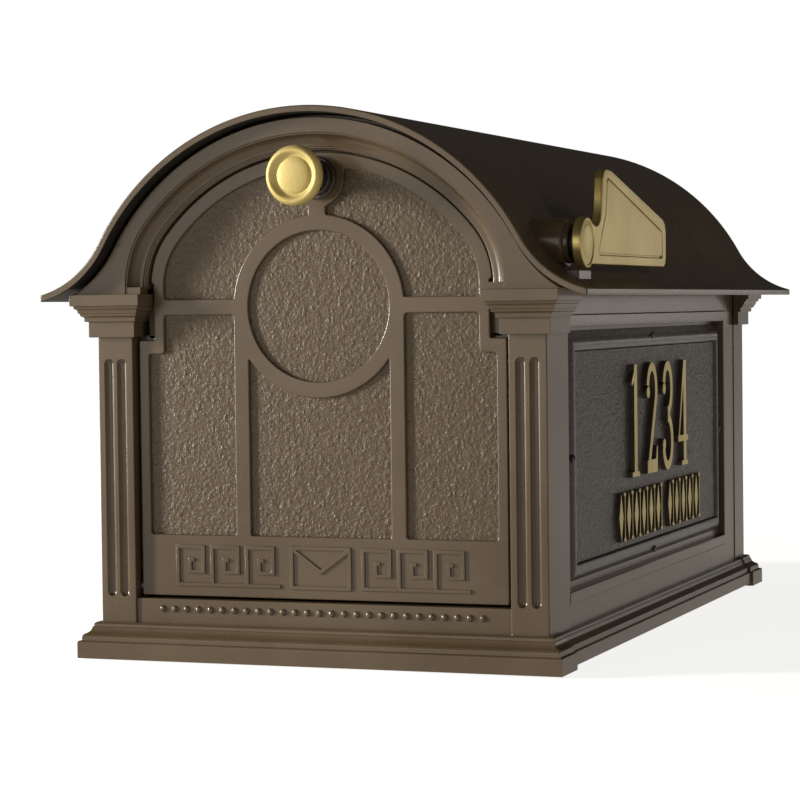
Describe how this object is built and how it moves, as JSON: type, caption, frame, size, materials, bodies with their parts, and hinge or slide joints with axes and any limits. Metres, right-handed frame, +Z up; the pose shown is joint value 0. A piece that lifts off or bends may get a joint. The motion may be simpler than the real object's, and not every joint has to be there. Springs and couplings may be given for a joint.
{
  "type": "post-mount mailbox",
  "caption": "Large post-mount mailbox with a bell-curved roof, fluted pilasters, a drop-down arched door, side address plaques and a rotating flag.",
  "frame": {"origin": "centre of the post bolt pattern, on the plane that the base and the mounting plate stand on", "axes": "+Y from the door to the rear, +Z up, +X to the flag side"},
  "size_m": [0.333, 0.5472, 0.3184],
  "materials": {
    "cast_paint": "satin bronze powder coat on cast aluminium",
    "plaque_paint": "dark bronze paint on a pebbled casting",
    "gold_paint": "satin gold paint",
    "zinc_steel": "zinc plated",
    "black_plastic": "matt black nylon",
    "magnet": "sintered ferrite"
  },
  "bodies": {
    "housing": {"front_frame": "cast_paint", "rear_frame": "cast_paint", "rear_panel": "cast_paint", "left_side_panel": "cast_paint", "right_side_panel": "cast_paint", "floor_plate": "cast_paint", "mounting_plate": "zinc_steel", "roof": "cast_paint", "left_plaque": "plaque_paint", "right_plaque": "plaque_paint", "plaque_screws": "plaque_paint", "left_hinge_pin": "zinc_steel", "right_hinge_pin": "zinc_steel", "magnet_housing": "black_plastic", "latch_magnet": "magnet", "magnet_screws": "zinc_steel", "roof_screws": "zinc_steel", "front_panel_screws": "zinc_steel", "rear_panel_screws": "zinc_steel", "rear_cover_screws": "zinc_steel", "floor_screws": "zinc_steel", "mounting_screws": "zinc_steel"},
    "door": {"door": "cast_paint", "door_knob": "gold_paint", "knob_rosette": "plaque_paint", "knob_screw": "zinc_steel", "strike_plate": "zinc_steel", "strike_screws": "zinc_steel"},
    "flag": {"flag": "gold_paint", "flag_shaft": "zinc_steel", "flag_spacer": "black_plastic", "spring_washer": "zinc_steel", "flag_nut": "zinc_steel"}
  },
  "joints": [
    {"name": "door_hinge", "type": "hinge", "parent": "housing", "child": "door", "pos_m": [0, -0.23225, 0.042], "axis": [1, 0, 0], "range_deg": [0, 90]},
    {"name": "flag_pivot", "type": "hinge", "parent": "housing", "child": "flag", "pos_m": [0.1495, -0.21725, 0.239], "axis": [1, 0, 0], "range_deg": [0, 90]}
  ]
}
